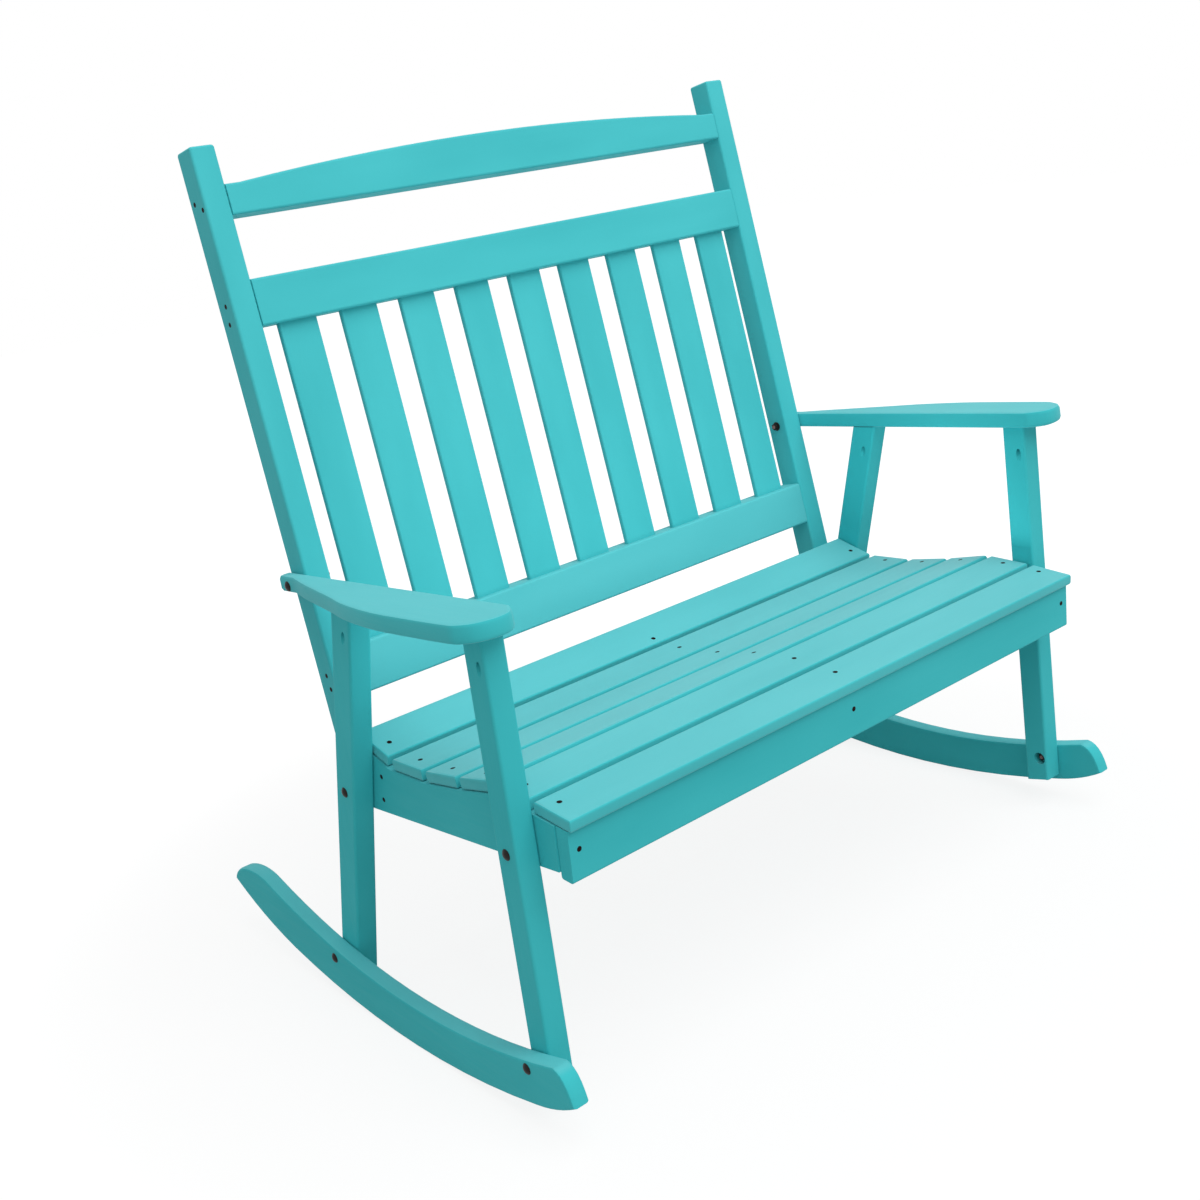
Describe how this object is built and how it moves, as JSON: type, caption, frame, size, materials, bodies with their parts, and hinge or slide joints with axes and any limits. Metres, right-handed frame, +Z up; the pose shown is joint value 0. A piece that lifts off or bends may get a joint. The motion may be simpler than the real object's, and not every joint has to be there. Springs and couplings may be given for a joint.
{
  "type": "rocking bench",
  "caption": "Wide painted wooden rocking bench: scooped slat seat, slatted leaning back between posts, flat arms on straight legs, and a curved runner under each side.",
  "frame": {"origin": "on the floor, under the middle of the object's bounding box, with the bench at rest on its two runners", "axes": "+Z up, +X to the right as seen from the front, +Y towards the back; whoever sits on the bench faces -Y"},
  "size_m": [1.1986, 0.914, 1.2766],
  "materials": {
    "painted_timber": "satin opaque aqua paint",
    "black_bolt": "satin black",
    "plated_nut": "dark dull plating"
  },
  "bodies": {
    "root": {"left_runner": "painted_timber", "right_runner": "painted_timber", "left_front_leg": "painted_timber", "right_front_leg": "painted_timber", "left_rear_leg": "painted_timber", "right_rear_leg": "painted_timber", "seat_slat_1": "painted_timber", "seat_slat_2": "painted_timber", "seat_slat_3": "painted_timber", "seat_slat_4": "painted_timber", "seat_slat_5": "painted_timber", "seat_slat_6": "painted_timber", "left_seat_rail": "painted_timber", "right_seat_rail": "painted_timber", "middle_seat_rail": "painted_timber", "rear_cross_rail": "painted_timber", "front_apron": "painted_timber", "left_post": "painted_timber", "right_post": "painted_timber", "upper_back_rail": "painted_timber", "lower_back_rail": "painted_timber", "crest_rail": "painted_timber", "back_slat_1": "painted_timber", "back_slat_2": "painted_timber", "back_slat_3": "painted_timber", "back_slat_4": "painted_timber", "back_slat_5": "painted_timber", "back_slat_6": "painted_timber", "back_slat_7": "painted_timber", "back_slat_8": "painted_timber", "back_slat_9": "painted_timber", "left_arm": "painted_timber", "right_arm": "painted_timber", "left_front_runner_bolt": "black_bolt", "left_rear_runner_bolt": "black_bolt", "left_front_rail_bolt": "black_bolt", "left_rear_rail_bolt": "black_bolt", "left_arm_bolt": "black_bolt", "right_front_runner_bolt": "black_bolt", "right_rear_runner_bolt": "black_bolt", "right_front_rail_bolt": "black_bolt", "right_rear_rail_bolt": "black_bolt", "right_arm_bolt": "black_bolt", "left_front_runner_nut": "plated_nut", "left_rear_runner_nut": "plated_nut", "left_front_rail_nut": "plated_nut", "left_rear_rail_nut": "plated_nut", "left_arm_nut": "plated_nut", "right_front_runner_nut": "plated_nut", "right_rear_runner_nut": "plated_nut", "right_front_rail_nut": "plated_nut", "right_rear_rail_nut": "plated_nut", "right_arm_nut": "plated_nut"}
  },
  "joints": []
}
